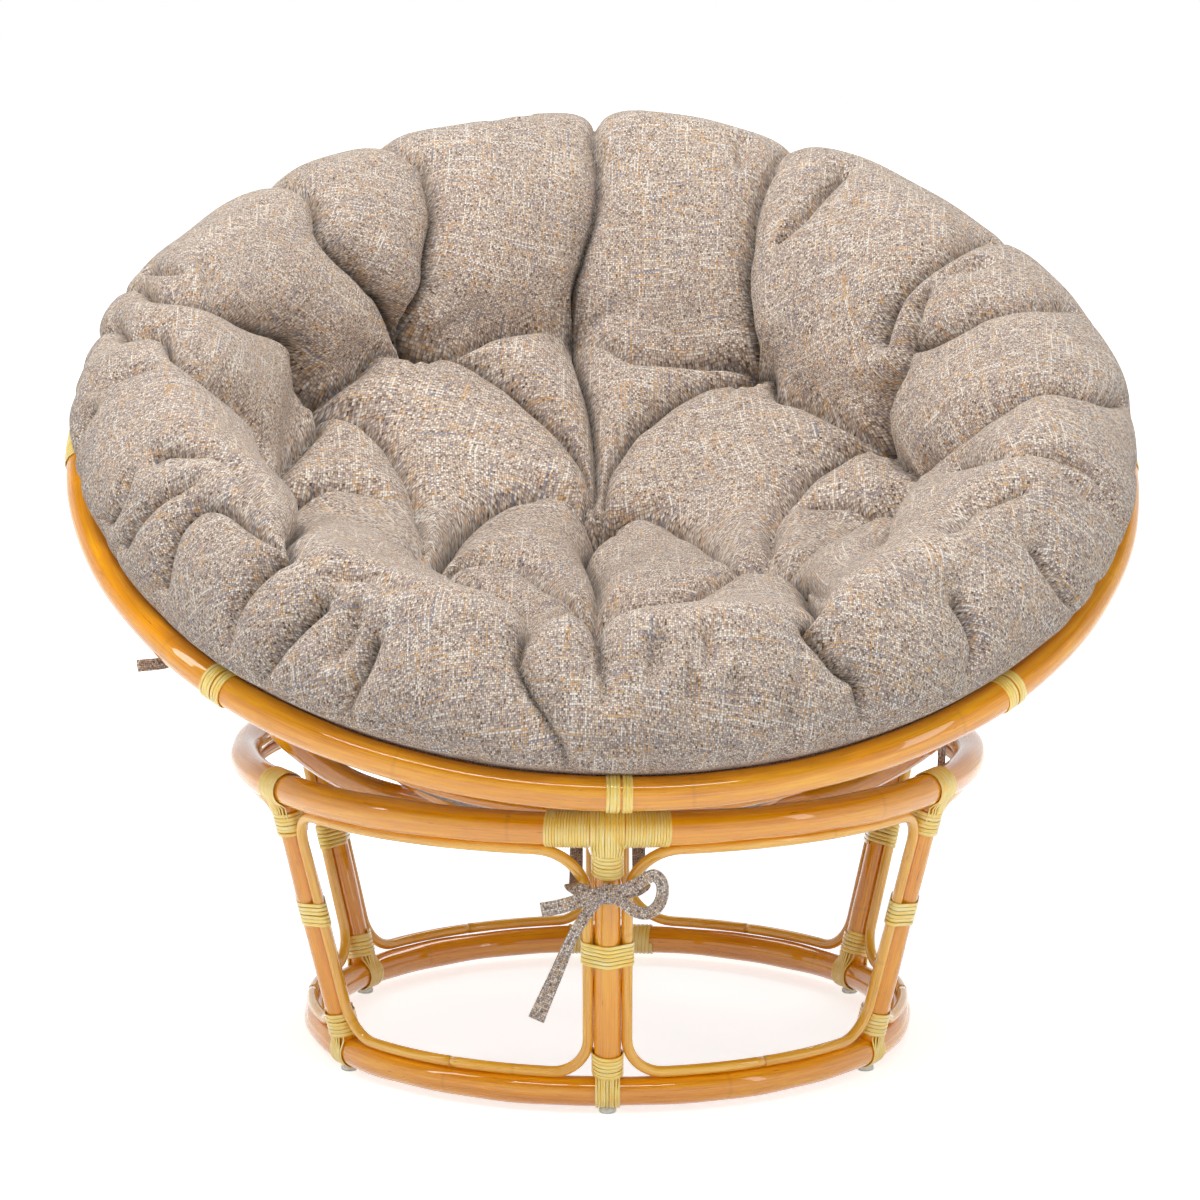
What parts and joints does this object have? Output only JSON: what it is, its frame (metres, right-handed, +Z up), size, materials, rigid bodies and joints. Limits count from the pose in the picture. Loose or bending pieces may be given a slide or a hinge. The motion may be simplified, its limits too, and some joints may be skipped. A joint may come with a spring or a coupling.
{
  "type": "papasan chair",
  "caption": "Papasan chair: a round lacquered cane bowl, tipped forward on a strip-bound cane ring stand, holding a thick tufted tweed cushion that is tied on with a bow.",
  "frame": {"origin": "on the floor, straight below the middle of the bowl's rim", "axes": "+X to the right seen from the front, where the sitter's feet are; +Y towards the chair's back; +Z up"},
  "size_m": [1.1021, 0.983, 0.9173],
  "materials": {
    "lacquered_cane": "gloss",
    "bay_cane": "gloss",
    "binding_cane": "satin",
    "tweed": "matte",
    "clear_plastic": "gloss"
  },
  "bodies": {
    "stand": {"top_ring": "lacquered_cane", "foot_ring": "lacquered_cane", "post_1": "lacquered_cane", "post_2": "lacquered_cane", "post_3": "lacquered_cane", "post_4": "lacquered_cane", "post_5": "lacquered_cane", "post_6": "lacquered_cane", "bay_rod_1": "bay_cane", "bay_rod_2": "bay_cane", "bay_rod_3": "bay_cane", "bay_rod_4": "bay_cane", "bay_rod_5": "bay_cane", "bay_rod_6": "bay_cane", "glide_1": "clear_plastic", "glide_2": "clear_plastic", "glide_3": "clear_plastic", "glide_4": "clear_plastic", "glide_5": "clear_plastic", "glide_6": "clear_plastic", "top_wrap_1": "binding_cane", "top_wrap_2": "binding_cane", "top_wrap_3": "binding_cane", "top_wrap_4": "binding_cane", "top_wrap_5": "binding_cane", "top_wrap_6": "binding_cane", "mid_wrap_1": "binding_cane", "mid_wrap_2": "binding_cane", "mid_wrap_3": "binding_cane", "mid_wrap_4": "binding_cane", "mid_wrap_5": "binding_cane", "mid_wrap_6": "binding_cane", "foot_wrap_1": "binding_cane", "foot_wrap_2": "binding_cane", "foot_wrap_3": "binding_cane", "foot_wrap_4": "binding_cane", "foot_wrap_5": "binding_cane", "foot_wrap_6": "binding_cane", "front_splice_left": "binding_cane", "front_splice_right": "binding_cane", "foot_splice": "binding_cane", "front_bow": "tweed"},
    "bowl": {"rim_hoop": "lacquered_cane", "upper_hoop": "lacquered_cane", "lower_hoop": "lacquered_cane", "base_hoop": "lacquered_cane", "rib_1": "lacquered_cane", "rib_2": "lacquered_cane", "rib_3": "lacquered_cane", "rib_4": "lacquered_cane", "rib_5": "lacquered_cane", "rib_6": "lacquered_cane", "rib_7": "lacquered_cane", "rib_8": "lacquered_cane", "rim_splice": "binding_cane", "cushion": "tweed", "tie_strap_left": "tweed", "tie_strap_right": "tweed", "left_tie": "tweed", "right_tie": "tweed"}
  },
  "joints": [
    {"name": "bowl_tilt", "type": "hinge", "parent": "stand", "child": "bowl", "pos_m": [0.00748, -0.10975, 0.67515], "axis": [0.9977, 0.068, 0], "range_deg": [-27.8, 0], "deforming": ["tie_strap_left", "tie_strap_right", "right_tie"]}
  ]
}
